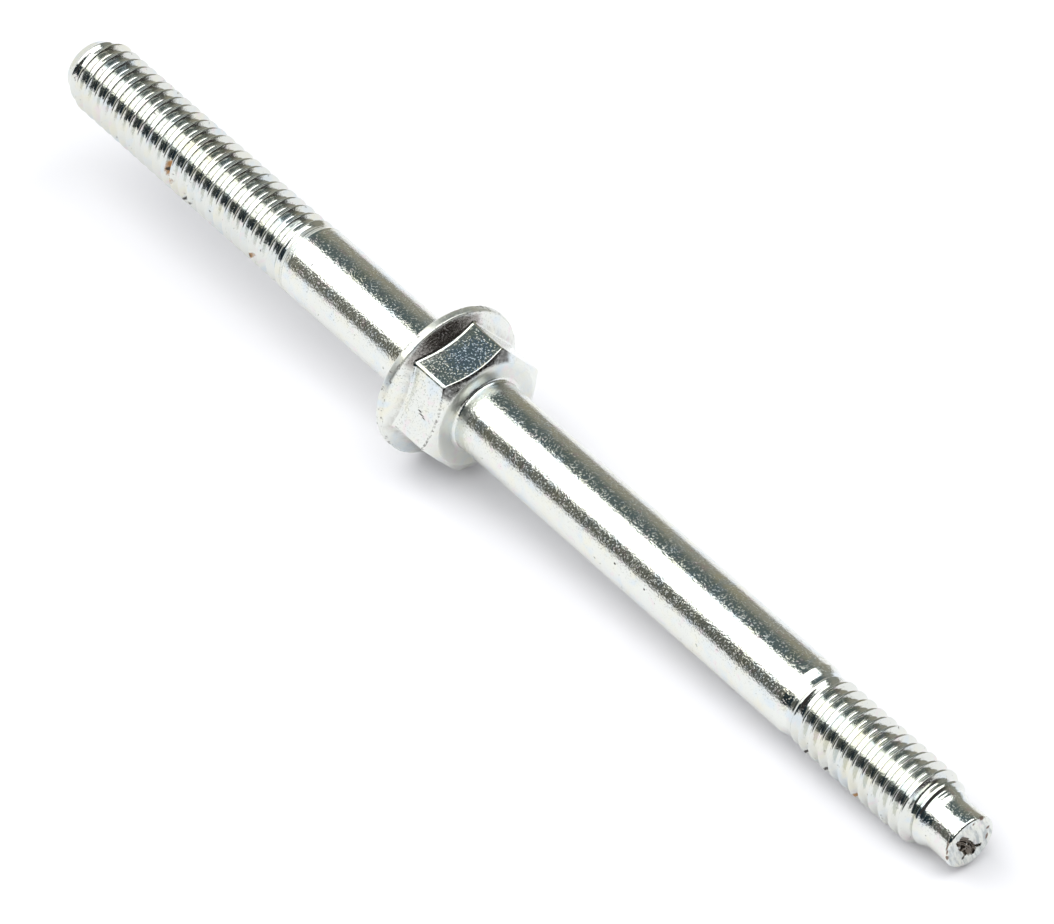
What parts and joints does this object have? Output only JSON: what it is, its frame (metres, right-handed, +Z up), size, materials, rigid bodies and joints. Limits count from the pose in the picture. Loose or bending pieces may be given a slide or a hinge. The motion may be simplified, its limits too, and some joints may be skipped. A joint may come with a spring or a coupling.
{
  "type": "stud bolt",
  "caption": "Zinc-plated stud bolt: a hex collar with a washer flange between a long threaded end and a plain reach that ends in a short thread and a pilot point.",
  "frame": {"origin": "centre of the bounding box at table level, under the stud as it lies at rest", "axes": "+X along the stud from the long thread towards the pilot point, which dips by 3.55 degrees; +Z up"},
  "size_m": [0.134, 0.0164, 0.0165],
  "materials": {
    "zinc_steel": "bright zinc plate with a fine grain, faint bluish and yellowish tints, and a few rust specks on the threads"
  },
  "bodies": {
    "root": {"stud_bolt": "zinc_steel"}
  },
  "joints": []
}
